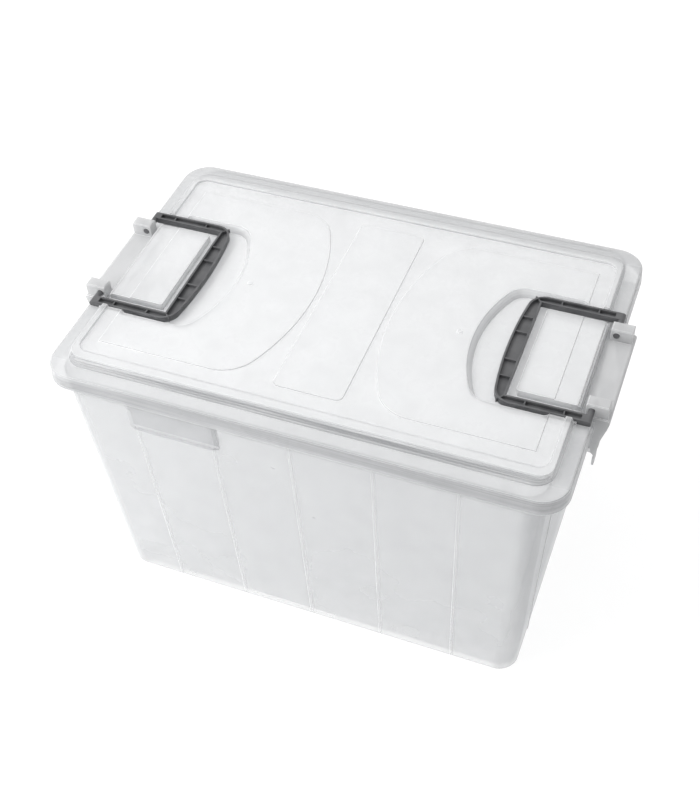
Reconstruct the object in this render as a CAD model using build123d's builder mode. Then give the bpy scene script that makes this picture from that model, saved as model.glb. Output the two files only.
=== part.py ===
from build123d import *
import math
import os

os.makedirs("parts", exist_ok=True)

# Plastic storage box: tub, lift-off lid, two end latches and two folding handles.
# X runs along the length, -Y is the front wall, Z is up and the box stands on Z = 0.

# Tub walls
WALL = 2.4
FLOOR = 3.6
BASE_X = 246.2
BASE_Y = 174.2
RIM_X = 261.4
RIM_Y = 184.6
RIM_Z = 336.0
CORNER_R = 23.0
BASE_EDGE = 2.0
INSIDE_EDGE = 5.0
FOOT_LIFT = 1.2
FOOT_IN = 21.0
FOOT_R = 18.0

# Ribs on the outside of the tub
RIB_WIDTH = 3.0
RIB_PROUD = 1.1
RIB_ROOT = 1.0
RIB_BASE_STEP = 86.2
RIB_RIM_STEP = 89.3
RIB_FOOT_Z = 5.0
RIB_HEAD_GAP = 1.0
END_RIB_Y = 112.0

# Label pads under the rim, one on the front and one on the back
PAD_X = -133.0
PAD_LENGTH = 104.0
PAD_HEIGHT = 38.0
PAD_SLOPE = 7.5
PAD_PROUD = 3.2
PAD_EDGE = 0.4

# Shelves at the ends of the rim, under the wide ends of the lid
SHELF_DROP = 8.0
SHELF_THICK = 2.4
SHELF_FIT = 1.8
SHELF_Y = 120.0
SHELF_LENGTH = 60.0

# Lid, with its heights taken from the flat flange around its edge
LID_WALL = 2.2
FLANGE_RISE = 6.0
END_OVERHANG = 18.6
SIDE_OVERHANG = 2.9
SKIRT = 18.0
SKIRT_DRAFT = 4.0
LID_R = 30.0
FLANGE_EDGE = 1.0
STEP_END_IN = 16.6
STEP_SIDE_IN = 17.0
STEP_R = 22.0
STEPS = 4
STEP_RISE = 2.0
STEP_IN_X = 0.82
STEP_IN_Y = 2.02
STEP_IN_R = 1.6
STEEP_RISE = 0.68
STEEP_IN = 0.36
BEAD_X = 6.0
BEAD_Y = 10.4
BEAD_R = 12.0
BEAD_EDGE = 0.8
UNDER_IN = 1.2
MARGIN_Z = 5.0
SEAT_FIT = 0.2
SEAT_IN = 0.3
SEAT_Y = 150.0

# Raised panels on the lid
PANEL_RISE = 1.2
PANEL_DRAFT = 30.0
PANEL_END = 15.5
PANEL_SIDE = 18.5
PANEL_R = 7.0
PANEL_NOSE_X = 44.0
PANEL_BACK_X = 81.0
PANEL_BACK_R = 44.0
CENTRE_X = 38.7
CENTRE_R = 8.0
GATE_X = 120.5
GATE_R = 3.0
GATE_PROUD = 0.5

# Latch, hooked on a rod at each end of the tub
LATCH_WALL = 2.4
LATCH_Y = 64.0
LATCH_DROP = 70.0
PIVOT_IN = 2.0
PLATE_DEPTH = 9.0
PLATE_FIT = 0.6
PLATE_OUT = 16.0
SKIRT_OUT = 13.6
WAIST_OUT = 8.0
WAIST_DROP = 38.0
TAB_DROP = 6.0
TAB_GAP = 1.0
BEND_R = 3.0
RETURN_WALL = 2.0
RETURN_IN = 8.5
RETURN_LOW_IN = 4.0
RETURN_DROP = 30.0
ROD_R = 4.2
ROD_FIT = 0.4
KNUCKLE_WALL = 3.0
KNUCKLE_Y = 24.0
KNUCKLE_LENGTH = 36.0
HOOK_MOUTH = 6.4
HOOK_ANGLE = 140.0
LUG_WIDTH = 4.0
LUG_GAP = 4.0
LUG_RISE = 12.0
LUG_FALL = 17.0

# Ears of the latch
EAR_IN = 10.5
EAR_OUT = 12.5
EAR_WIDTH = 13.5
EAR_RISE = 9.8
EAR_TOP_EDGE = 1.0
EAR_CORE = 8.0
EAR_CORE_OUT = 6.4

# Handle, pinned to the ears of a latch
PIN_IN = 4.5
PIN_RISE = 1.9
PIN_R = 3.4
PIN_FIT = 0.3
HANDLE_HIGH = 7.0
ARM_GAP = 8.6
ARM_WIDTH = 10.2
ARM_REACH = 85.5
GRIP_WIDTH = 17.5
GRIP_BOW = 7.1
GRIP_R = 19.0
GRIP_SOFT_R = 2.0
HANDLE_WALL = 2.0
HANDLE_FLOOR = 3.0
HANDLE_RIB = 1.4
HANDLE_RIB_DROP = 0.6
GRIP_RIB_NEAR_Y = 21.0
GRIP_RIB_FAR_Y = 45.0
ARM_RIB_NEAR = 21.0
ARM_RIB_FAR = 61.0

# Pocket in the lid that takes the folded handle
POCKET_DEPTH = 3.2
POCKET_DRAFT = 32.0
POCKET_BACK_R = 24.0
POCKET_END_R = 7.0
FINGER_ROOM = 37.2
FINGER_BOW = 25.0
POCKET_SIDE_FIT = 5.7
CHANNEL_FIT = 1.0
TONGUE_FIT = 8.6
TONGUE_R = 3.0
TONGUE_SLOPE = 3.5
NOTCH_IN = 14.7
SKIRT_FIT = 2.5
LEDGE = 3.2
LEDGE_END = 6.0

rise_per_mm_x = (RIM_X - BASE_X) / RIM_Z
rise_per_mm_y = (RIM_Y - BASE_Y) / RIM_Z


def wall_x(z):
    return BASE_X + rise_per_mm_x * z


def wall_y(z):
    return BASE_Y + rise_per_mm_y * z


def rib_step(z):
    return RIB_BASE_STEP + (RIB_RIM_STEP - RIB_BASE_STEP) * z / RIM_Z


# Sizes of the lid, from the rim of the tub
flange_z = RIM_Z + FLANGE_RISE
skirt_z = flange_z - SKIRT
lid_x = RIM_X + END_OVERHANG
lid_y = RIM_Y + SIDE_OVERHANG
step_x = lid_x - STEP_END_IN
step_y = lid_y - STEP_SIDE_IN
bead_top = flange_z + STEPS * STEP_RISE
bead_in_x = step_x - STEPS * STEP_IN_X - BEAD_X
bead_in_y = step_y - STEPS * STEP_IN_Y - BEAD_Y
panel_x = bead_in_x - PANEL_END
panel_y = bead_in_y - PANEL_SIDE
margin_top = flange_z + MARGIN_Z
panel_top = margin_top + PANEL_RISE
inner_top = margin_top - LID_WALL

# Places of the latch and the handle, from the end of the lid
pivot_x = lid_x - PIVOT_IN
rod_z = flange_z - LATCH_DROP
rod_y = KNUCKLE_Y + KNUCKLE_LENGTH / 2 + LUG_GAP + LUG_WIDTH / 2
knuckle_r = ROD_R + ROD_FIT + KNUCKLE_WALL
notch_x = lid_x - NOTCH_IN
notch_y = LATCH_Y + SKIRT_FIT
notch_z = flange_z - PLATE_DEPTH
plate_low = notch_z + PLATE_FIT
plate_high = plate_low + LATCH_WALL
plate_edge_x = notch_x + PLATE_FIT
ear_far_y = LATCH_Y - RETURN_WALL
ear_near_y = ear_far_y - EAR_WIDTH
ear_y = (ear_near_y + ear_far_y) / 2
ear_top = flange_z + EAR_RISE
pin_x = lid_x - PIN_IN
pin_z = flange_z + PIN_RISE
handle_low = pin_z - HANDLE_HIGH / 2
handle_end_x = pin_x + HANDLE_HIGH / 2
arm_in_y = ear_far_y + ARM_GAP
arm_out_y = arm_in_y + ARM_WIDTH
grip_in_x = pin_x - ARM_REACH
grip_out_x = grip_in_x - GRIP_WIDTH
grip_corner_x = grip_out_x + GRIP_BOW

# Pocket, channels and tongue in the lid, from the folded handle
pocket_z = flange_z - POCKET_DEPTH
pocket_nose_x = grip_out_x - FINGER_ROOM
pocket_back_x = pocket_nose_x + FINGER_BOW
pocket_y = arm_out_y + POCKET_SIDE_FIT
pocket_end_x = grip_in_x + CHANNEL_FIT
pocket_slope = math.tan(math.radians(POCKET_DRAFT))
channel_y = arm_out_y + CHANNEL_FIT
slope_in = (panel_top - pocket_z) * pocket_slope
foot_y = pocket_y - slope_in
tongue_x = grip_in_x + TONGUE_FIT
tongue_y = arm_in_y - TONGUE_FIT
beyond_x = lid_x + 2 * PLATE_OUT

with BuildPart() as inside:
    # drafted block that hollows the tub, one wall thickness inside its outside
    inside_x = wall_x(FLOOR) - WALL
    inside_y = wall_y(FLOOR) - WALL
    with BuildSketch(Plane.XZ):
        with BuildLine():
            Polyline(
                (-inside_x, FLOOR),
                (inside_x, FLOOR),
                (RIM_X - WALL, RIM_Z),
                (-RIM_X + WALL, RIM_Z),
                close=True,
            )
        make_face()
    extrude(amount=RIM_Y, both=True)
    with BuildSketch(Plane.YZ):
        with BuildLine():
            Polyline(
                (-inside_y, FLOOR),
                (inside_y, FLOOR),
                (RIM_Y - WALL, RIM_Z),
                (-RIM_Y + WALL, RIM_Z),
                close=True,
            )
        make_face()
    extrude(amount=RIM_X, both=True, mode=Mode.INTERSECT)
    inside_corners = inside.edges().filter_by(
        lambda e: e.bounding_box().size.Z > RIM_Z / 2
    )
    fillet(inside_corners, CORNER_R - WALL)
    chamfer(inside.faces().sort_by(Axis.Z)[0].edges(), INSIDE_EDGE)

with BuildPart() as tub:
    # drafted outside, where the end walls and the long walls meet in round corners
    with BuildSketch(Plane.XZ):
        with BuildLine():
            Polyline(
                (-BASE_X, 0), (BASE_X, 0), (RIM_X, RIM_Z), (-RIM_X, RIM_Z), close=True
            )
        make_face()
    extrude(amount=RIM_Y, both=True)
    with BuildSketch(Plane.YZ):
        with BuildLine():
            Polyline(
                (-BASE_Y, 0), (BASE_Y, 0), (RIM_Y, RIM_Z), (-RIM_Y, RIM_Z), close=True
            )
        make_face()
    extrude(amount=RIM_X, both=True, mode=Mode.INTERSECT)
    corners = tub.edges().filter_by(lambda e: e.bounding_box().size.Z > RIM_Z / 2)
    fillet(corners, CORNER_R)
    chamfer(tub.faces().sort_by(Axis.Z)[0].edges(), BASE_EDGE)
    add(inside.part, mode=Mode.SUBTRACT)

    # raised middle of the underside, so the box stands on a ring
    with BuildSketch(Plane.XY):
        RectangleRounded(2 * (BASE_X - FOOT_IN), 2 * (BASE_Y - FOOT_IN), FOOT_R)
    extrude(amount=FOOT_LIFT, mode=Mode.SUBTRACT)

    # five upright ribs on the front wall and five on the back wall
    rib_head_z = skirt_z - RIB_HEAD_GAP
    rib_mid = (RIB_PROUD - RIB_ROOT) / 2
    for side in (-1, 1):
        for k in (-2, -1, 0, 1, 2):
            for z in (RIB_FOOT_Z, rib_head_z):
                with BuildSketch(Plane.XY.offset(z)):
                    with Locations((k * rib_step(z), side * (wall_y(z) + rib_mid))):
                        Rectangle(RIB_WIDTH, RIB_PROUD + RIB_ROOT)
            loft()

    # two upright ribs on each end wall
    for side in (-1, 1):
        for y in (-END_RIB_Y, END_RIB_Y):
            for z in (RIB_FOOT_Z, rib_head_z):
                with BuildSketch(Plane.XY.offset(z)):
                    with Locations((side * (wall_x(z) + rib_mid), y)):
                        Rectangle(RIB_PROUD + RIB_ROOT, RIB_WIDTH)
            loft()

    # label pads with sloped sides under the rim
    pad_low_z = rib_head_z - PAD_HEIGHT
    pad_left_x = PAD_X - PAD_LENGTH / 2
    pad_right_x = PAD_X + PAD_LENGTH / 2
    pad_edge_y = wall_y(rib_head_z) + PAD_EDGE
    pad_face_y = wall_y(rib_head_z) + PAD_PROUD
    pad_root_y = wall_y(pad_low_z) - WALL / 2
    for side in (-1, 1):
        with BuildSketch(Plane.XY.offset(pad_low_z)):
            with BuildLine():
                Polyline(
                    (pad_left_x, side * pad_root_y),
                    (pad_left_x, side * pad_edge_y),
                    (pad_left_x + PAD_SLOPE, side * pad_face_y),
                    (pad_right_x - PAD_SLOPE, side * pad_face_y),
                    (pad_right_x, side * pad_edge_y),
                    (pad_right_x, side * pad_root_y),
                    close=True,
                )
            make_face()
        extrude(amount=PAD_HEIGHT)

    # shelves at the four ends of the short walls
    shelf_low_z = RIM_Z - SHELF_DROP
    shelf_root_x = wall_x(shelf_low_z) - WALL / 2
    shelf_end_x = lid_x - LID_WALL - SHELF_FIT
    shelf_mid_x = (shelf_root_x + shelf_end_x) / 2
    with BuildSketch(Plane.XY.offset(shelf_low_z)):
        with GridLocations(2 * shelf_mid_x, 2 * SHELF_Y, 2, 2):
            Rectangle(shelf_end_x - shelf_root_x, SHELF_LENGTH)
    extrude(amount=SHELF_THICK)

    # three lugs and a rod at each end, which the latch hooks onto
    lug_root_x = wall_x(rod_z) - WALL / 2
    lug_tip = 0.9 * ROD_R
    for side in (-1, 1):
        for y in (-rod_y, 0, rod_y):
            lug_plane = Plane(origin=(0, y, 0), x_dir=(1, 0, 0), z_dir=(0, -1, 0))
            with BuildSketch(lug_plane):
                with BuildLine():
                    Polyline(
                        (side * lug_root_x, rod_z + LUG_RISE),
                        (side * lug_root_x, rod_z - LUG_FALL),
                        (side * (pivot_x - ROD_R / 3), rod_z - lug_tip),
                        (side * (pivot_x + ROD_R / 3), rod_z + lug_tip),
                        close=True,
                    )
                make_face()
                with Locations((side * pivot_x, rod_z)):
                    Circle(ROD_R)
            extrude(amount=LUG_WIDTH / 2, both=True)
        rod_plane = Plane(origin=(0, 0, 0), x_dir=(1, 0, 0), z_dir=(0, -1, 0))
        with BuildSketch(rod_plane):
            with Locations((side * pivot_x, rod_z)):
                Circle(ROD_R)
        extrude(amount=rod_y, both=True)

tub.part.label = "tub"

with BuildPart() as lid:
    # flange, with a skirt that flares a little
    with BuildSketch(Plane.XY.offset(flange_z)):
        RectangleRounded(2 * lid_x, 2 * lid_y, LID_R)
    extrude(amount=-SKIRT, taper=-SKIRT_DRAFT)
    chamfer(lid.faces().sort_by(Axis.Z)[-1].edges(), FLANGE_EDGE)

    # sloped edge of the platform, in fine steps that are steep and then shallow
    for k in range(STEPS):
        for part_rise, part_in in ((0.0, 0.0), (STEEP_RISE, STEEP_IN)):
            rise = (k + part_rise) * STEP_RISE
            inset = k + part_in
            with BuildSketch(Plane.XY.offset(flange_z + rise)):
                RectangleRounded(
                    2 * (step_x - inset * STEP_IN_X),
                    2 * (step_y - inset * STEP_IN_Y),
                    STEP_R - inset * STEP_IN_R,
                )
    with BuildSketch(Plane.XY.offset(bead_top)):
        RectangleRounded(
            2 * (step_x - STEPS * STEP_IN_X),
            2 * (step_y - STEPS * STEP_IN_Y),
            STEP_R - STEPS * STEP_IN_R,
        )
    loft(ruled=True)

    # sunken top inside the bead
    with BuildSketch(Plane.XY.offset(margin_top)):
        RectangleRounded(2 * bead_in_x, 2 * bead_in_y, BEAD_R)
    extrude(amount=bead_top - margin_top, mode=Mode.SUBTRACT)
    top_edges = lid.edges().filter_by(
        lambda e: abs(e.bounding_box().min.Z - bead_top) < 0.01
    )
    bead_edges = top_edges.filter_by(
        lambda e: abs(e.center().X) < bead_in_x + 0.01
        and abs(e.center().Y) < bead_in_y + 0.01
    )
    chamfer(bead_edges, BEAD_EDGE)

    # raised panels: one D at each end and a plain one in the middle
    panel_root_z = margin_top - LID_WALL / 4
    panel_high = panel_top - panel_root_z
    with BuildSketch(Plane.XY.offset(panel_root_z)):
        RectangleRounded(2 * CENTRE_X, 2 * panel_y, CENTRE_R)
    extrude(amount=panel_high, taper=PANEL_DRAFT)
    for side in (-1, 1):
        with BuildSketch(Plane.XY.offset(panel_root_z)) as d_panel:
            with BuildLine():
                back = side * PANEL_BACK_X
                end = side * panel_x
                edge = side * panel_y
                Line((back, -edge), (end, -edge))
                Line((end, -edge), (end, edge))
                Line((end, edge), (back, edge))
                ThreePointArc((back, edge), (side * PANEL_NOSE_X, 0), (back, -edge))
            make_face()
            corners = d_panel.vertices().sort_by(Axis.X)
            rear = corners[0:2] if side > 0 else corners[2:4]
            front = corners[2:4] if side > 0 else corners[0:2]
            fillet(rear, PANEL_BACK_R)
            fillet(front, PANEL_R)
        extrude(amount=panel_high, taper=PANEL_DRAFT)

    # moulding gate marks
    with BuildSketch(Plane.XY.offset(panel_root_z)):
        with Locations((-GATE_X, 0), (GATE_X, 0)):
            Circle(GATE_R)
    extrude(amount=panel_high + GATE_PROUD)

    # hollow underside
    with BuildSketch(Plane.XY.offset(flange_z - LID_WALL)):
        RectangleRounded(
            2 * (lid_x - LID_WALL), 2 * (lid_y - LID_WALL), LID_R - LID_WALL
        )
    extrude(amount=LID_WALL - SKIRT, taper=-SKIRT_DRAFT, mode=Mode.SUBTRACT)
    under_z = flange_z - 1.5 * LID_WALL
    under_in_x = UNDER_IN * LID_WALL + STEPS * STEP_IN_X / 2
    under_in_y = UNDER_IN * LID_WALL + STEPS * STEP_IN_Y / 2
    with BuildSketch(Plane.XY.offset(under_z)):
        RectangleRounded(
            2 * (step_x - LID_WALL), 2 * (step_y - LID_WALL), STEP_R - LID_WALL
        )
    with BuildSketch(Plane.XY.offset(inner_top)):
        RectangleRounded(
            2 * (step_x - under_in_x),
            2 * (step_y - under_in_y),
            STEP_R - LID_WALL - STEPS * STEP_IN_R / 2,
        )
    loft(ruled=True, mode=Mode.SUBTRACT)

    # seat rib that rests on the rim of the tub
    seat_z = RIM_Z + SEAT_FIT
    seat_wall = WALL - SEAT_IN
    with BuildSketch(Plane.XY.offset(seat_z)):
        RectangleRounded(2 * (RIM_X - SEAT_IN), 2 * (RIM_Y - SEAT_IN), CORNER_R - SEAT_IN)
        RectangleRounded(
            2 * (RIM_X - seat_wall),
            2 * (RIM_Y - seat_wall),
            CORNER_R - seat_wall,
            mode=Mode.SUBTRACT,
        )
        Rectangle(4 * RIM_X, 2 * SEAT_Y, mode=Mode.SUBTRACT)
    extrude(amount=flange_z - LID_WALL / 2 - seat_z)

    # walls and floor of the handle pockets, as deep as the pockets and one wall outside
    shell_low_z = pocket_z - LID_WALL
    shell_high_z = inner_top + LID_WALL / 4
    shell_wall = LID_WALL / math.cos(math.radians(POCKET_DRAFT))
    shell_out = shell_wall - (panel_top - shell_high_z) * pocket_slope
    shell_channel_y = channel_y + LID_WALL
    shell_tongue_x = tongue_x + LID_WALL
    hollow_end_x = notch_x - 2 * LID_WALL
    for side in (-1, 1):
        with BuildSketch(Plane.XY.offset(shell_high_z)) as pocket_shell:
            with BuildLine():
                nose = side * (pocket_nose_x - shell_out)
                back = side * (pocket_back_x - shell_out)
                end = side * (panel_x + shell_out)
                edge = side * (pocket_y + shell_out)
                Line((back, -edge), (end, -edge))
                Line((end, -edge), (end, edge))
                Line((end, edge), (back, edge))
                ThreePointArc((back, edge), (nose, 0), (back, -edge))
            make_face()
            corners = pocket_shell.vertices().sort_by(Axis.X)
            rear = corners[0:2] if side > 0 else corners[2:4]
            fillet(rear, POCKET_BACK_R + shell_out)
        extrude(amount=shell_low_z - shell_high_z, taper=POCKET_DRAFT)
        with BuildSketch(Plane.XY.offset(shell_low_z)):
            with Locations((side * (grip_in_x + notch_x) / 2, 0)):
                Rectangle(notch_x - grip_in_x, 2 * shell_channel_y)
        extrude(amount=shell_high_z - shell_low_z)
        # hollow under the tongue
        with BuildSketch(Plane.XY.offset(shell_low_z)):
            with Locations((side * (shell_tongue_x + hollow_end_x) / 2, 0)):
                Rectangle(hollow_end_x - shell_tongue_x, 2 * (tongue_y - LID_WALL))
        extrude(amount=inner_top - shell_low_z, mode=Mode.SUBTRACT)

    # deeper corners where the handle arms reach over the edge of the lid
    corner_low_z = notch_z - LID_WALL
    corner_in_x = notch_x - LID_WALL
    corner_out_x = lid_x - LID_WALL / 2
    corner_x = (corner_in_x + corner_out_x) / 2
    corner_long = corner_out_x - corner_in_x
    for side in (-1, 1):
        for hand in (-1, 1):
            with BuildSketch(Plane.XY.offset(corner_low_z)):
                with Locations((side * corner_x, hand * (notch_y + shell_channel_y) / 2)):
                    Rectangle(corner_long, shell_channel_y - notch_y)
            extrude(amount=flange_z - LID_WALL / 2 - corner_low_z)
            with BuildSketch(Plane.XY.offset(skirt_z)):
                with Locations((side * corner_x, hand * (notch_y + LID_WALL / 2))):
                    Rectangle(corner_long, LID_WALL)
            extrude(amount=corner_low_z + LID_WALL / 2 - skirt_z)
        with BuildSketch(Plane.XY.offset(skirt_z)):
            with Locations((side * (notch_x - LID_WALL / 2), 0)):
                Rectangle(LID_WALL, 2 * (notch_y + LID_WALL))
        extrude(amount=SKIRT)

    # cut the pockets, channels and notches
    for side in (-1, 1):
        with BuildSketch(Plane.XY.offset(panel_top)) as pocket:
            with BuildLine():
                nose = side * pocket_nose_x
                back = side * pocket_back_x
                end = side * pocket_end_x
                edge = side * pocket_y
                Line((back, -edge), (end, -edge))
                Line((end, -edge), (end, edge))
                Line((end, edge), (back, edge))
                ThreePointArc((back, edge), (nose, 0), (back, -edge))
            make_face()
            corners = pocket.vertices().sort_by(Axis.X)
            fillet(corners[0:2] if side > 0 else corners[2:4], POCKET_BACK_R)
        extrude(
            amount=pocket_z - panel_top, taper=POCKET_DRAFT, mode=Mode.SUBTRACT
        )
        # the same slope along both arms, as far as the edge of the panel
        strip_x = (grip_corner_x + panel_x) / 2
        strip_y = (arm_in_y + pocket_y) / 2
        with BuildSketch(Plane.XY.offset(panel_top)):
            with Locations((side * strip_x, -strip_y), (side * strip_x, strip_y)):
                RectangleRounded(
                    panel_x - grip_corner_x, pocket_y - arm_in_y, POCKET_END_R
                )
        extrude(
            amount=pocket_z - panel_top, taper=POCKET_DRAFT, mode=Mode.SUBTRACT
        )
        with BuildSketch(Plane.XY.offset(pocket_z)):
            with Locations((side * (grip_out_x + notch_x) / 2, 0)):
                Rectangle(notch_x - grip_out_x, 2 * foot_y)
            with Locations((side * (panel_x - slope_in + notch_x) / 2, 0)):
                Rectangle(notch_x - panel_x + slope_in, 2 * channel_y)
            with Locations((side * (tongue_x + notch_x) / 2, 0)):
                RectangleRounded(
                    notch_x - tongue_x, 2 * tongue_y, TONGUE_R, mode=Mode.SUBTRACT
                )
        extrude(amount=bead_top - pocket_z, mode=Mode.SUBTRACT)
        with BuildSketch(Plane.XY.offset(notch_z)):
            with Locations((side * (notch_x + beyond_x) / 2, 0)):
                Rectangle(beyond_x - notch_x, 2 * channel_y)
        extrude(amount=bead_top - notch_z, mode=Mode.SUBTRACT)
        with BuildSketch(Plane.XY.offset(skirt_z)):
            with Locations((side * (notch_x + beyond_x) / 2, 0)):
                Rectangle(beyond_x - notch_x, 2 * notch_y)
        extrude(amount=bead_top - skirt_z, mode=Mode.SUBTRACT)
        # the end of the tongue is flat, without the bead
        with BuildSketch(Plane.XY.offset(margin_top)):
            with Locations((side * (panel_x + beyond_x) / 2, 0)):
                Rectangle(beyond_x - panel_x, 2 * (tongue_y + LID_WALL))
        extrude(amount=bead_top - margin_top, mode=Mode.SUBTRACT)
        with BuildSketch(Plane.XZ):
            with BuildLine():
                Polyline(
                    (side * (notch_x - TONGUE_SLOPE), margin_top),
                    (side * notch_x, margin_top - TONGUE_SLOPE),
                    (side * notch_x, margin_top),
                    close=True,
                )
            make_face()
        extrude(amount=tongue_y + LID_WALL, both=True, mode=Mode.SUBTRACT)
        # ledge that the latch presses on
        with BuildSketch(Plane.XY.offset(corner_low_z)):
            with Locations((side * (notch_x + (LEDGE - LID_WALL / 4) / 2), 0)):
                Rectangle(LEDGE + LID_WALL / 4, 2 * (notch_y - LEDGE_END))
        extrude(amount=LID_WALL)

lid.part.label = "lid"

across = Plane(origin=(0, 0, 0), x_dir=(1, 0, 0), z_dir=(0, -1, 0))

with BuildPart() as latch_right:
    # plate over the lid and wall down the end, as one bent sheet
    plate_out_x = lid_x + PLATE_OUT
    skirt_out_x = lid_x + SKIRT_OUT
    waist_x = lid_x + WAIST_OUT
    waist_z = flange_z - WAIST_DROP
    foot_x = pivot_x + knuckle_r
    foot_z = rod_z + ROD_R
    slant = LATCH_WALL / 4
    with BuildSketch(across) as sheet:
        with BuildLine():
            Polyline(
                (plate_edge_x, plate_high),
                (plate_out_x, plate_high),
                (skirt_out_x, skirt_z),
                (waist_x, waist_z),
                (foot_x, foot_z),
                (foot_x - LATCH_WALL, foot_z),
                (waist_x - LATCH_WALL, waist_z - slant),
                (skirt_out_x - LATCH_WALL, skirt_z - slant),
                (plate_out_x - LATCH_WALL - slant / 2, plate_low),
                (plate_edge_x, plate_low),
                close=True,
            )
        make_face()
        outer_corner = sheet.vertices().sort_by(Axis.X)[-1]
        fillet(outer_corner, BEND_R)
    extrude(amount=LATCH_Y, both=True)

    # tabs at both ends of the sheet, beyond the outer lugs
    tab_in_y = rod_y + LUG_WIDTH / 2 + TAB_GAP
    tab_length = LATCH_Y - tab_in_y
    with BuildSketch(Plane.XY.offset(rod_z - TAB_DROP)):
        with GridLocations(0, LATCH_Y + tab_in_y, 1, 2):
            with Locations((foot_x - LATCH_WALL / 2, 0)):
                Rectangle(LATCH_WALL, tab_length)
    extrude(amount=TAB_DROP + ROD_R + slant)

    # end returns that stiffen the sheet
    for hand in (-1, 1):
        return_plane = Plane(
            origin=(0, hand * (LATCH_Y - RETURN_WALL / 2), 0),
            x_dir=(1, 0, 0),
            z_dir=(0, -1, 0),
        )
        with BuildSketch(return_plane):
            with BuildLine():
                Polyline(
                    (lid_x - RETURN_IN, plate_low + slant),
                    (plate_out_x - LATCH_WALL, plate_low + slant),
                    (skirt_out_x - LATCH_WALL / 2, skirt_z),
                    (waist_x - LATCH_WALL / 2, waist_z),
                    (foot_x - LATCH_WALL / 2, foot_z + ROD_R),
                    (pivot_x + LATCH_WALL, foot_z + 2 * ROD_R),
                    (lid_x - RETURN_LOW_IN, flange_z - RETURN_DROP),
                    close=True,
                )
            make_face()
        extrude(amount=RETURN_WALL / 2, both=True)

    # open hooks that snap over the rod of the tub
    for hand in (-1, 1):
        hook_plane = Plane(
            origin=(0, hand * KNUCKLE_Y, 0), x_dir=(1, 0, 0), z_dir=(0, -1, 0)
        )
        with BuildSketch(hook_plane):
            with Locations((pivot_x, rod_z)):
                Circle(knuckle_r)
            with BuildLine():
                Polyline(
                    (pivot_x + ROD_R, rod_z),
                    (foot_x, rod_z),
                    (foot_x, foot_z + ROD_R / 2),
                    (foot_x - LATCH_WALL, foot_z + ROD_R / 2),
                    close=True,
                )
            make_face()
            with Locations((pivot_x, rod_z)):
                Circle(ROD_R + ROD_FIT, mode=Mode.SUBTRACT)
                with PolarLocations(knuckle_r, 1, start_angle=HOOK_ANGLE):
                    Rectangle(1.4 * knuckle_r, HOOK_MOUTH, mode=Mode.SUBTRACT)
        extrude(amount=KNUCKLE_LENGTH / 2, both=True)

    # ears that carry the pins of the handle, hollow from below
    ear_x = lid_x + (EAR_OUT - EAR_IN) / 2
    ear_length = EAR_OUT + EAR_IN
    with BuildSketch(Plane.XY.offset(plate_low)):
        with Locations((ear_x, -ear_y), (ear_x, ear_y)):
            Rectangle(ear_length, EAR_WIDTH)
    extrude(amount=ear_top - plate_low)
    ear_edges = latch_right.edges().filter_by(
        lambda e: abs(e.bounding_box().min.Z - ear_top) < 0.01
    )
    chamfer(ear_edges, EAR_TOP_EDGE)
    with BuildSketch(Plane.XY.offset(plate_low)):
        with Locations((lid_x + EAR_CORE_OUT, -ear_y), (lid_x + EAR_CORE_OUT, ear_y)):
            Rectangle(EAR_CORE, EAR_WIDTH - 2 * RETURN_WALL)
    extrude(amount=ear_top - RETURN_WALL - plate_low, mode=Mode.SUBTRACT)

    # bores for the pins
    with BuildSketch(across):
        with Locations((pin_x, pin_z)):
            Circle(PIN_R + PIN_FIT)
    extrude(amount=LATCH_Y, both=True, mode=Mode.SUBTRACT)

latch_right.part.label = "latch_right"


def grip_edge(y, offset=0.0):
    radius = (arm_out_y**2 + GRIP_BOW**2) / (2 * GRIP_BOW)
    return grip_out_x + offset + radius - (radius**2 - y**2) ** 0.5


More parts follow.
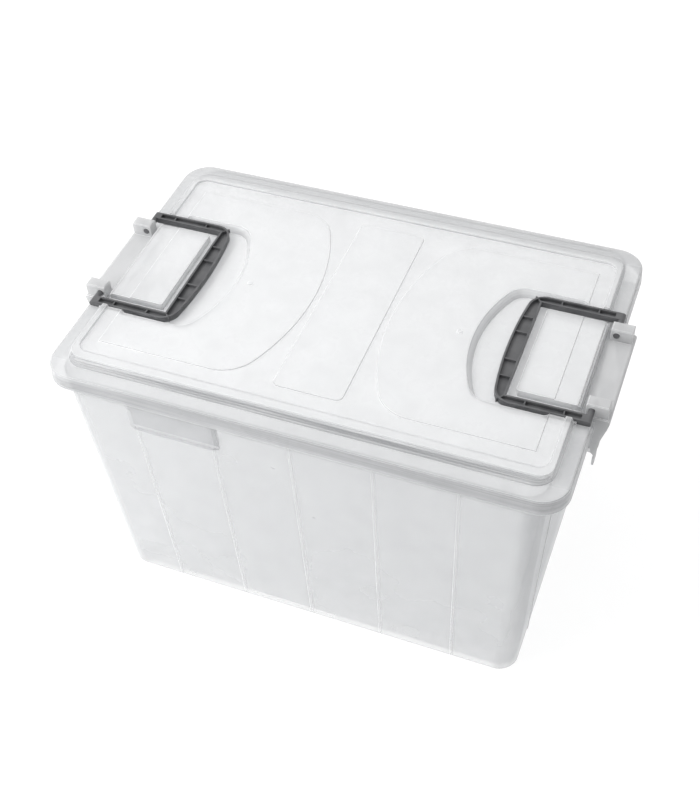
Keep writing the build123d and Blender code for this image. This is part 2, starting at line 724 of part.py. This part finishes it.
with BuildPart() as handle_right:
    with BuildSketch(Plane.XY.offset(handle_low)) as outline:
        with BuildLine():
            Line((grip_corner_x, arm_out_y), (handle_end_x, arm_out_y))
            Line((handle_end_x, arm_out_y), (handle_end_x, arm_in_y))
            Line((handle_end_x, arm_in_y), (grip_in_x, arm_in_y))
            Line((grip_in_x, arm_in_y), (grip_in_x, -arm_in_y))
            Line((grip_in_x, -arm_in_y), (handle_end_x, -arm_in_y))
            Line((handle_end_x, -arm_in_y), (handle_end_x, -arm_out_y))
            Line((handle_end_x, -arm_out_y), (grip_corner_x, -arm_out_y))
            ThreePointArc(
                (grip_corner_x, -arm_out_y),
                (grip_out_x, 0),
                (grip_corner_x, arm_out_y),
            )
        make_face()
        fillet(outline.vertices().sort_by(Axis.X)[0:2], GRIP_R)
    extrude(amount=HANDLE_HIGH)

    # rounded ends of the arms, centred on the pin
    end_edges = (
        handle_right.edges()
        .filter_by(Axis.Y)
        .filter_by(lambda e: e.center().X > handle_end_x - 0.01)
    )
    fillet(end_edges, 0.49 * HANDLE_HIGH)

    # soft lower edge, which the hand holds
    grip_edges = (
        handle_right.edges()
        .filter_by(Axis.Y)
        .filter_by(lambda e: abs(e.center().X - grip_in_x) < 0.01)
        .sort_by(Axis.Z)[0:1]
    )
    fillet(grip_edges, GRIP_SOFT_R)

    # open channel along the top, with its cross ribs
    trough_out_y = arm_out_y - HANDLE_WALL
    trough_in_y = arm_in_y + HANDLE_WALL
    trough_end_x = pin_x - 2 * PIN_R
    trough_in_x = grip_in_x - HANDLE_WALL
    trough_corner_x = grip_corner_x + HANDLE_WALL
    with BuildSketch(Plane.XY.offset(handle_low + HANDLE_FLOOR)) as channel:
        with BuildLine():
            Line((trough_corner_x, trough_out_y), (trough_end_x, trough_out_y))
            Line((trough_end_x, trough_out_y), (trough_end_x, trough_in_y))
            Line((trough_end_x, trough_in_y), (trough_in_x, trough_in_y))
            Line((trough_in_x, trough_in_y), (trough_in_x, -trough_in_y))
            Line((trough_in_x, -trough_in_y), (trough_end_x, -trough_in_y))
            Line((trough_end_x, -trough_in_y), (trough_end_x, -trough_out_y))
            Line((trough_end_x, -trough_out_y), (trough_corner_x, -trough_out_y))
            ThreePointArc(
                (trough_corner_x, -trough_out_y),
                (grip_out_x + HANDLE_WALL, 0),
                (trough_corner_x, trough_out_y),
            )
        make_face()
        fillet(channel.vertices().sort_by(Axis.X)[0:2], GRIP_R - HANDLE_WALL)
    extrude(amount=HANDLE_HIGH, mode=Mode.SUBTRACT)
    with BuildSketch(Plane.XY.offset(handle_low + HANDLE_FLOOR / 2)):
        for rib_y in (GRIP_RIB_NEAR_Y, GRIP_RIB_FAR_Y):
            rib_out_x = grip_edge(rib_y, HANDLE_WALL / 2)
            rib_in_x = grip_in_x - HANDLE_WALL / 2
            rib_x = (rib_out_x + rib_in_x) / 2
            with Locations((rib_x, -rib_y), (rib_x, rib_y)):
                Rectangle(rib_in_x - rib_out_x, HANDLE_RIB)
        for hand in (-1, 1):
            arm_y = hand * (arm_in_y + ARM_WIDTH / 2)
            with Locations(
                (grip_in_x + ARM_RIB_NEAR, arm_y), (grip_in_x + ARM_RIB_FAR, arm_y)
            ):
                Rectangle(HANDLE_RIB, ARM_WIDTH - HANDLE_WALL / 2)
            corner_rib_x = grip_in_x - 0.24 * GRIP_WIDTH
            corner_rib_y = hand * (arm_in_y + 0.4 * ARM_WIDTH)
            with Locations((corner_rib_x, corner_rib_y)):
                Rectangle(0.6 * GRIP_WIDTH, HANDLE_RIB, rotation=-45 * hand)
    extrude(amount=HANDLE_HIGH - HANDLE_FLOOR / 2 - HANDLE_RIB_DROP)

    # pins turned inwards from the ends of the arms
    for hand in (-1, 1):
        pin_root_y = arm_in_y + HANDLE_WALL / 2
        pin_plane = Plane(
            origin=(pin_x, hand * pin_root_y, pin_z),
            x_dir=(1, 0, 0),
            z_dir=(0, -hand, 0),
        )
        with BuildSketch(pin_plane):
            Circle(PIN_R)
        extrude(amount=pin_root_y - ear_near_y + 2 * PIN_FIT)

handle_right.part.label = "handle_right"

with BuildPart() as latch_left:
    add(mirror(latch_right.part, about=Plane.YZ))
latch_left.part.label = "latch_left"

with BuildPart() as handle_left:
    add(mirror(handle_right.part, about=Plane.YZ))
handle_left.part.label = "handle_left"

for name, item in (
    ("tub", tub),
    ("lid", lid),
    ("latch_left", latch_left),
    ("latch_right", latch_right),
    ("handle_left", handle_left),
    ("handle_right", handle_right),
):
    export_step(item.part, f"parts/{name}.step")
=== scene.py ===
import math

import bpy
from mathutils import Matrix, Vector

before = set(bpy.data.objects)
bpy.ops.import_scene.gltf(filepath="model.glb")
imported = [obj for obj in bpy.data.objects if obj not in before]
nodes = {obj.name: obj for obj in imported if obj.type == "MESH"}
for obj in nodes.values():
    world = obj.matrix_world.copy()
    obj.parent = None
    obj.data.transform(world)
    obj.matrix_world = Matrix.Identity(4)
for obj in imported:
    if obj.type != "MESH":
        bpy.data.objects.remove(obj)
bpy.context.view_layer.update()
scene = bpy.context.scene

# Camera, at the viewing angle of the photograph
CAMERA_PLACE = (0.37123, -0.87273, 1.23710)
CAMERA_TURN = (42.376, 2.488, 20.868)
CAMERA_LENS = 54.23
SENSOR_WIDTH = 36.0

# Clear plastic: its tint where it looks thin, its tint where it looks deep and where painted shade
# falls, and what passes straight through it
PALE = (0.965, 0.967, 0.971)
DEEP_AND_SHADED = (0.40, 0.405, 0.415)
STRAIGHT_THROUGH = (0.978, 0.980, 0.982)
CLEAR_IOR = 1.49
CLEAR_LAYERS = 32

# Its noises, in waves per metre, and how far they move tint, roughness, cover and surface
FLOW_SCALE = 7.0
CLOUD_SCALE = 38.0
GRAIN_SCALE = 900.0
STREAK_STRETCH = (6.0, 6.0, 900.0)
MOTTLE = 0.08
WALL_STREAKS = (0.4, 1.6)
SLOPE_STREAKS = (0.5, 1.5)
SMOOTHER = 0.04
ROUGHER = 0.05
HAZE_SPREAD = 0.03
WAVE_BUMP = 0.25
GRAIN_BUMP = 0.06
GRAIN_HEIGHT = 0.0002

# Its edges, creases and slopes: where their masks start and end, and what they add to the cover
EDGE_TURN = (0.93, 0.995)
CREASE_OPEN = (0.25, 0.95)
CREASE_REACH = 0.012
CREASE_HAZE = 0.3
SLOPE_LEAN = (0.02, 0.12)
STEP_HAZE = 0.4
SLANT_POWER = 3.0

# Dark plastic
DARK_LOW = (0.070, 0.071, 0.075)
DARK_HIGH = (0.118, 0.119, 0.123)
DARK_IOR = 1.5
DARK_CLOUD_SCALE = 60.0
DARK_GRAIN_SCALE = 1400.0
DARK_ROUGH = (0.34, 0.46)
DARK_GRAIN_BUMP = 0.18

# Floor: what it gives back to the light, and how it shows white to the camera
FLOOR_HALF = 6.0
FLOOR_BOUNCE = 0.60
FLOOR_SHADED = 0.3
FLOOR_GLOW = 0.76

# Surround: where it is brightest, and its strength opposite that side and on it
BRIGHT_SIDE = (-0.64, 0.32, 0.70)
SURROUND_LOW = 0.14
SURROUND_HIGH = 1.10
LAMP_AIM = (0.0, 0.0, 0.2)

# Places on the tub, in metres, and how much of its painted edge highlights is left above the fade
PAD_LEFT_X = -0.185
PAD_SLOPE_X = -0.0885
PAD_RIGHT_X = -0.081
PAD_LOW_Z = 0.285
PAD_HIGH_Z = 0.324
WALL_Y = 0.170
BAND_Z = 0.314
END_X = 0.244
END_BORDER = 0.006
HIGHLIGHT_FADE_Z = (0.10, 0.28)
FADED_HIGHLIGHT = 0.3

# Places on the lid, in metres
SKIRT_TOP_Z = 0.3408
FLANGE_TOP_Z = 0.3423
STEP_LOW_Z = 0.3421
PANEL_LOW_Z = 0.3468
BEAD_TOP_Z = 0.3497
SIDE_STEP_Y = 0.158
END_STEP_X = 0.255
FINE_STEP_Y = 0.1642
FINE_STEP_LOW_Z = 0.3422
FINE_STEP_HIGH_Z = 0.3499

# Soft border of a place, in metres
BORDER = 0.0004


def feed(tree, socket, value):
    """Link an output to a socket, or set the socket's own value."""
    if isinstance(value, bpy.types.NodeSocket):
        tree.links.new(value, socket)
    else:
        socket.default_value = value


def grey(level):
    return (level, level, level, 1.0)


def new_material(name):
    material = bpy.data.materials.new(name)
    material.use_nodes = True
    tree = material.node_tree
    tree.nodes.clear()
    return material, tree


def add_node(tree, kind, **settings):
    node = tree.nodes.new(kind)
    for key, value in settings.items():
        setattr(node, key, value)
    return node


def close_material(tree, shader):
    out = add_node(tree, "ShaderNodeOutputMaterial")
    tree.links.new(shader, out.inputs["Surface"])


def noise(tree, vector, scale, detail, roughness=0.5):
    node = add_node(tree, "ShaderNodeTexNoise")
    node.inputs["Scale"].default_value = scale
    node.inputs["Detail"].default_value = detail
    node.inputs["Roughness"].default_value = roughness
    tree.links.new(vector, node.inputs["Vector"])
    return node.outputs["Fac"]


def remap(tree, value, low, high, from_low=0.3, from_high=0.7):
    """Stretch a value to a new range, by default from where a noise mostly lies."""
    node = add_node(tree, "ShaderNodeMapRange")
    node.inputs["From Min"].default_value = from_low
    node.inputs["From Max"].default_value = from_high
    node.inputs["To Min"].default_value = low
    node.inputs["To Max"].default_value = high
    tree.links.new(value, node.inputs["Value"])
    return node.outputs["Result"]


def math_node(tree, operation, first, second=0.0):
    node = add_node(tree, "ShaderNodeMath", operation=operation)
    feed(tree, node.inputs[0], first)
    feed(tree, node.inputs[1], second)
    return node.outputs["Value"]


def times(tree, first, second):
    return math_node(tree, "MULTIPLY", first, second)


def plus(tree, first, second):
    return math_node(tree, "ADD", first, second)


def one_minus(tree, value):
    return math_node(tree, "SUBTRACT", 1.0, value)


def dot_product(tree, first, second):
    node = add_node(tree, "ShaderNodeVectorMath", operation="DOT_PRODUCT")
    feed(tree, node.inputs[0], first)
    feed(tree, node.inputs[1], second)
    return node.outputs["Value"]


def split(tree, vector):
    node = add_node(tree, "ShaderNodeSeparateXYZ")
    tree.links.new(vector, node.inputs["Vector"])
    return node.outputs["X"], node.outputs["Y"], node.outputs["Z"]


def mix(tree, data_type, factor, first, second):
    node = add_node(tree, "ShaderNodeMix", data_type=data_type)
    feed(tree, node.inputs["Factor"], factor)
    feed(tree, node.inputs["A"], first)
    feed(tree, node.inputs["B"], second)
    return node.outputs["Result"]


def mix_colours(tree, factor, first, second):
    return mix(tree, "RGBA", factor, (*first, 1.0), (*second, 1.0))


def mix_shaders(tree, factor, first, second):
    node = add_node(tree, "ShaderNodeMixShader")
    feed(tree, node.inputs["Fac"], factor)
    tree.links.new(first, node.inputs[1])
    tree.links.new(second, node.inputs[2])
    return node.outputs["Shader"]


def bump(tree, height, strength, distance, normal=None):
    node = add_node(tree, "ShaderNodeBump")
    node.inputs["Strength"].default_value = strength
    node.inputs["Distance"].default_value = distance
    tree.links.new(height, node.inputs["Height"])
    if normal is not None:
        tree.links.new(normal, node.inputs["Normal"])
    return node.outputs["Normal"]


def seen_rays(tree):
    """1 for rays that show a surface itself, straight on, in a reflection or through glass."""
    rays = add_node(tree, "ShaderNodeLightPath")
    seen = math_node(tree, "MAXIMUM", rays.outputs["Is Camera Ray"], rays.outputs["Is Glossy Ray"])
    return math_node(tree, "MAXIMUM", seen, rays.outputs["Is Transmission Ray"])


def edge_lines(tree, width):
    """Normals rounded near the edges of a moulding, its own normals, and a mask of 1 along the edges,
    where highlights are painted.
    """
    bevel = add_node(tree, "ShaderNodeBevel", samples=6)
    bevel.inputs["Radius"].default_value = width
    rounded = bevel.outputs["Normal"]
    own = add_node(tree, "ShaderNodeNewGeometry").outputs["Normal"]
    turn = dot_product(tree, rounded, own)
    return rounded, own, remap(tree, turn, 1.0, 0.0, *EDGE_TURN)


def creases(tree):
    """Mask from ambient occlusion that is 1 deep in the corners where two faces of a moulding meet, for
    painted shade.
    """
    shelter = add_node(tree, "ShaderNodeAmbientOcclusion", samples=8, only_local=True)
    shelter.inputs["Distance"].default_value = CREASE_REACH
    return remap(tree, shelter.outputs["AO"], 1.0, 0.0, *CREASE_OPEN)


def box_mask(tree, spot, low, high, border=BORDER):
    """Mask that is 1 inside a box in the piece's own x, |y| and z, where None leaves a side open."""
    mask = None
    for value, near, far in zip(spot, low, high):
        for start, sign in ((near, 1.0), (far, -1.0)):
            if start is None:
                continue
            edge = sign * start
            side = remap(tree, times(tree, value, sign), 0.0, 1.0, edge - border, edge + border)
            mask = side if mask is None else times(tree, mask, side)
    return mask


def clear_plastic(
    name, haze, slant_haze, edge_haze, passing, rough, wave, edge, crease_shade, streaks_and_shade,
    tone_and_painted_shade=(), stepped_box=None, highlight_fade=None,
):
    """Hazy translucent plastic: partly see-through, partly lit from behind, with a soft gloss.

    haze, slant_haze and edge_haze say how much of a face, of a face seen along itself and of an edge
    hides what lies behind it. passing is the share of that which is lit from behind. wave is the
    height of its slow waves and edge the width of its edges and their painted highlights, in metres.
    crease_shade and streaks_and_shade say how dark the painted shade is in creases and on upright
    faces. tone_and_painted_shade lists the places with a darker tint, most of it painted shade.
    """
    material, tree = new_material(name)
    place = add_node(tree, "ShaderNodeTexCoord").outputs["Object"]
    flow = noise(tree, place, FLOW_SCALE, 2.0)
    cloud = noise(tree, place, CLOUD_SCALE, 4.0)
    grain = noise(tree, place, GRAIN_SCALE, 2.0)
    stretch = add_node(tree, "ShaderNodeMapping")
    stretch.inputs["Scale"].default_value = STREAK_STRETCH
    tree.links.new(place, stretch.inputs["Vector"])
    streak = noise(tree, stretch.outputs["Vector"], 1.0, 2.0, 0.6)
    along, across, height = split(tree, place)
    spot = (along, math_node(tree, "ABSOLUTE", across), height)

    rounded, own, edge_highlight = edge_lines(tree, edge)
    if stepped_box:
        # fine steps keep their own normals, and have no painted edge highlights
        stepped = box_mask(tree, spot, *stepped_box)
        edge_highlight = times(tree, edge_highlight, one_minus(tree, stepped))
        rounded = mix(tree, "VECTOR", stepped, rounded, own)
    if highlight_fade:
        # the painted edge highlights fade with height, where less light runs through the moulding
        edge_highlight = times(tree, edge_highlight, remap(tree, height, 1.0, FADED_HIGHLIGHT, *highlight_fade))
    hollow = creases(tree)

    # tint: mottled at random, with painted shade on upright faces in a streak pattern, painted shade
    # deep in the creases and in the listed places, and painted highlights pale along the edges
    lean = split(tree, add_node(tree, "ShaderNodeTexCoord").outputs["Normal"])[2]
    upright = remap(tree, math_node(tree, "ABSOLUTE", lean), 1.0, 0.0, 0.0, 1.0)
    # painted shade on upright faces, in a streak pattern
    upright_streaks_and_shade = times(tree, remap(tree, streak, *WALL_STREAKS), times(tree, upright, streaks_and_shade))
    shade = plus(tree, remap(tree, cloud, 0.0, MOTTLE), upright_streaks_and_shade)
    # painted shade deep in the creases, from ambient occlusion
    shade = plus(tree, shade, times(tree, hollow, crease_shade))
    sloping = remap(tree, upright, 0.0, 1.0, *SLOPE_LEAN)
    # darker tint in the listed places, most of it painted shade and shadow
    for low, high, amount, only_slopes, border in tone_and_painted_shade:
        mask = box_mask(tree, spot, low, high, border)
        if only_slopes:
            mask = times(tree, mask, sloping)
            mask = times(tree, mask, remap(tree, streak, *SLOPE_STREAKS))
        shade = plus(tree, shade, times(tree, mask, amount))
    # painted highlight: the tint turns pale along the edges
    shade = times(tree, shade, one_minus(tree, edge_highlight))
    tint = mix_colours(tree, shade, PALE, DEEP_AND_SHADED)

    plastic = add_node(tree, "ShaderNodeBsdfPrincipled")
    plastic.inputs["IOR"].default_value = CLEAR_IOR
    tree.links.new(tint, plastic.inputs["Base Color"])
    roughness = remap(tree, cloud, rough - SMOOTHER, rough + ROUGHER)
    tree.links.new(roughness, plastic.inputs["Roughness"])
    surface = bump(tree, flow, WAVE_BUMP, wave, rounded)
    surface = bump(tree, grain, GRAIN_BUMP, GRAIN_HEIGHT, surface)
    tree.links.new(surface, plastic.inputs["Normal"])
    lit_behind = add_node(tree, "ShaderNodeBsdfTranslucent")
    tree.links.new(tint, lit_behind.inputs["Color"])
    body = mix_shaders(tree, passing, plastic.outputs["BSDF"], lit_behind.outputs["BSDF"])

    # how much of the surface hides what lies behind it, as in glass
    facing = add_node(tree, "ShaderNodeLayerWeight")
    facing.inputs["Blend"].default_value = 0.5
    slant = math_node(tree, "POWER", facing.outputs["Facing"], SLANT_POWER)
    cover = remap(tree, flow, haze - HAZE_SPREAD, haze + HAZE_SPREAD)
    cover = plus(tree, cover, times(tree, slant, slant_haze))
    cover = plus(tree, cover, times(tree, edge_highlight, edge_haze))
    cover = plus(tree, cover, times(tree, hollow, CREASE_HAZE))
    if stepped_box:
        cover = plus(tree, cover, times(tree, stepped, STEP_HAZE))
    clear = add_node(tree, "ShaderNodeBsdfTransparent")
    clear.inputs["Color"].default_value = (*STRAIGHT_THROUGH, 1.0)
    close_material(tree, mix_shaders(tree, cover, clear.outputs["BSDF"], body))
    return material


def dark_plastic(name):
    """Charcoal moulded plastic with a satin face."""
    material, tree = new_material(name)
    place = add_node(tree, "ShaderNodeTexCoord").outputs["Object"]
    cloud = noise(tree, place, DARK_CLOUD_SCALE, 4.0)
    grain = noise(tree, place, DARK_GRAIN_SCALE, 3.0, 0.6)
    tint = mix_colours(tree, remap(tree, cloud, 0.0, 1.0), DARK_LOW, DARK_HIGH)
    plastic = add_node(tree, "ShaderNodeBsdfPrincipled")
    plastic.inputs["IOR"].default_value = DARK_IOR
    tree.links.new(tint, plastic.inputs["Base Color"])
    tree.links.new(remap(tree, cloud, *DARK_ROUGH), plastic.inputs["Roughness"])
    surface = bump(tree, grain, DARK_GRAIN_BUMP, GRAIN_HEIGHT)
    tree.links.new(surface, plastic.inputs["Normal"])
    close_material(tree, plastic.outputs["BSDF"])
    return material


# Places with a darker tint: the label pads and the lid's flange, and elsewhere painted shade and shadow:
# low and high corner, amount, only where a face slopes, and soft border
TUB_TONE_AND_PAINTED_SHADE = (
    # label pads, darker, and painted shade on their right-hand slope, turned from the light
    ((PAD_LEFT_X, WALL_Y, PAD_LOW_Z), (PAD_SLOPE_X, None, PAD_HIGH_Z), 0.38, False, BORDER),
    ((PAD_SLOPE_X, WALL_Y, PAD_LOW_Z), (PAD_RIGHT_X, None, PAD_HIGH_Z), 0.65, False, BORDER),
    # painted shadow of the lid's skirt in a band under the rim, and painted shade on the two ends,
    # darkest on the right end, turned from the light
    ((None, None, BAND_Z), (None, None, None), 0.32, False, BORDER),
    ((END_X, None, None), (None, None, None), 0.36, False, END_BORDER),
    ((None, None, None), (-END_X, None, None), 0.20, False, END_BORDER),
)
LID_TONE_AND_PAINTED_SHADE = (
    # painted shade on the upright skirt, and the flange above it darker
    ((None, None, None), (None, None, SKIRT_TOP_Z), 0.34, True, BORDER),
    ((None, None, SKIRT_TOP_Z), (None, None, FLANGE_TOP_Z), 0.30, False, BORDER),
    # painted shade on the slopes of the stepped edge along the sides, and at the right and left end
    ((None, SIDE_STEP_Y, STEP_LOW_Z), (None, None, BEAD_TOP_Z), 0.85, True, BORDER),
    ((END_STEP_X, None, STEP_LOW_Z), (None, SIDE_STEP_Y, BEAD_TOP_Z), 0.45, True, BORDER),
    ((None, None, STEP_LOW_Z), (-END_STEP_X, SIDE_STEP_Y, BEAD_TOP_Z), 0.45, True, BORDER),
    # painted shade on the walls of the handle pockets and on the edges of the raised panels
    ((-END_STEP_X, None, STEP_LOW_Z), (END_STEP_X, SIDE_STEP_Y, PANEL_LOW_Z), 0.12, True, BORDER),
    ((-END_STEP_X, None, PANEL_LOW_Z), (END_STEP_X, SIDE_STEP_Y, BEAD_TOP_Z), 0.55, True, BORDER),
)
LID_FINE_STEPS = ((None, FINE_STEP_Y, FINE_STEP_LOW_Z), (None, None, FINE_STEP_HIGH_Z))

tub_plastic = clear_plastic(
    "tub_plastic", haze=0.16, slant_haze=0.60, edge_haze=0.7, passing=0.55, rough=0.36,
    wave=0.003, edge=0.0009, crease_shade=0.30, streaks_and_shade=0.0, tone_and_painted_shade=TUB_TONE_AND_PAINTED_SHADE, highlight_fade=HIGHLIGHT_FADE_Z,
)
lid_plastic = clear_plastic(
    "lid_plastic", haze=0.36, slant_haze=0.45, edge_haze=0.6, passing=0.35, rough=0.28,
    wave=0.002, edge=0.0007, crease_shade=0.10, streaks_and_shade=0.14, tone_and_painted_shade=LID_TONE_AND_PAINTED_SHADE,
    stepped_box=LID_FINE_STEPS,
)
latch_plastic = clear_plastic(
    "latch_plastic", haze=0.50, slant_haze=0.35, edge_haze=0.4, passing=0.30, rough=0.22,
    wave=0.001, edge=0.0007, crease_shade=0.55, streaks_and_shade=0.07,
)
handle_plastic = dark_plastic("handle_plastic")

FINISHES = {
    "tub": tub_plastic,
    "lid": lid_plastic,
    "latch_left": latch_plastic,
    "latch_right": latch_plastic,
    "handle_left": handle_plastic,
    "handle_right": handle_plastic,
}
for name, material in FINISHES.items():
    nodes[name].data.materials.clear()
    nodes[name].data.materials.append(material)

# Floor: it shows white to the camera, and keeps a soft shadow
half = FLOOR_HALF
floor_mesh = bpy.data.meshes.new("floor")
floor_mesh.from_pydata(
    [(-half, -half, 0), (half, -half, 0), (half, half, 0), (-half, half, 0)], [], [(0, 1, 2, 3)]
)
floor = bpy.data.objects.new("floor", floor_mesh)
scene.collection.objects.link(floor)
floor_paint, tree = new_material("floor_paint")
bounce = add_node(tree, "ShaderNodeBsdfDiffuse")
bounce.inputs["Color"].default_value = grey(FLOOR_BOUNCE)
shaded = add_node(tree, "ShaderNodeBsdfDiffuse")
shaded.inputs["Color"].default_value = grey(FLOOR_SHADED)
glow = add_node(tree, "ShaderNodeEmission")
glow.inputs["Strength"].default_value = FLOOR_GLOW
white = add_node(tree, "ShaderNodeAddShader")
tree.links.new(shaded.outputs["BSDF"], white.inputs[0])
tree.links.new(glow.outputs["Emission"], white.inputs[1])
close_material(tree, mix_shaders(tree, seen_rays(tree), bounce.outputs["BSDF"], white.outputs["Shader"]))
floor_mesh.materials.append(floor_paint)

# Surround: white where it is seen, and brighter on one side as a light
world = bpy.data.worlds.new("studio")
scene.world = world
world.use_nodes = True
tree = world.node_tree
tree.nodes.clear()
toward = add_node(tree, "ShaderNodeTexCoord").outputs["Generated"]
side = dot_product(tree, toward, BRIGHT_SIDE)
level = remap(tree, side, SURROUND_LOW, SURROUND_HIGH, -1.0, 1.0)
sky = add_node(tree, "ShaderNodeBackground")
sky.inputs["Color"].default_value = grey(1.0)
tree.links.new(mix(tree, "FLOAT", seen_rays(tree), level, 1.0), sky.inputs["Strength"])
world_out = add_node(tree, "ShaderNodeOutputWorld")
tree.links.new(sky.outputs["Background"], world_out.inputs["Surface"])


def soft_lamp(name, place, size, power):
    data = bpy.data.lights.new(name, "AREA")
    data.shape = "DISK"
    data.size = size
    data.energy = power
    lamp = bpy.data.objects.new(name, data)
    scene.collection.objects.link(lamp)
    lamp.location = place
    lamp.rotation_euler = (Vector(LAMP_AIM) - Vector(place)).to_track_quat("-Z", "Y").to_euler()


soft_lamp("key_lamp", place=(-2.4, -0.8, 3.4), size=1.8, power=70.0)
soft_lamp("front_lamp", place=(-1.2, -1.3, 0.7), size=1.0, power=16.0)

camera_data = bpy.data.cameras.new("camera")
camera_data.sensor_width = SENSOR_WIDTH
camera_data.lens = CAMERA_LENS
camera = bpy.data.objects.new("camera", camera_data)
scene.collection.objects.link(camera)
camera.location = CAMERA_PLACE
camera.rotation_euler = [math.radians(angle) for angle in CAMERA_TURN]
scene.camera = camera

scene.view_settings.view_transform = "Standard"
scene.cycles.transparent_max_bounces = CLEAR_LAYERS
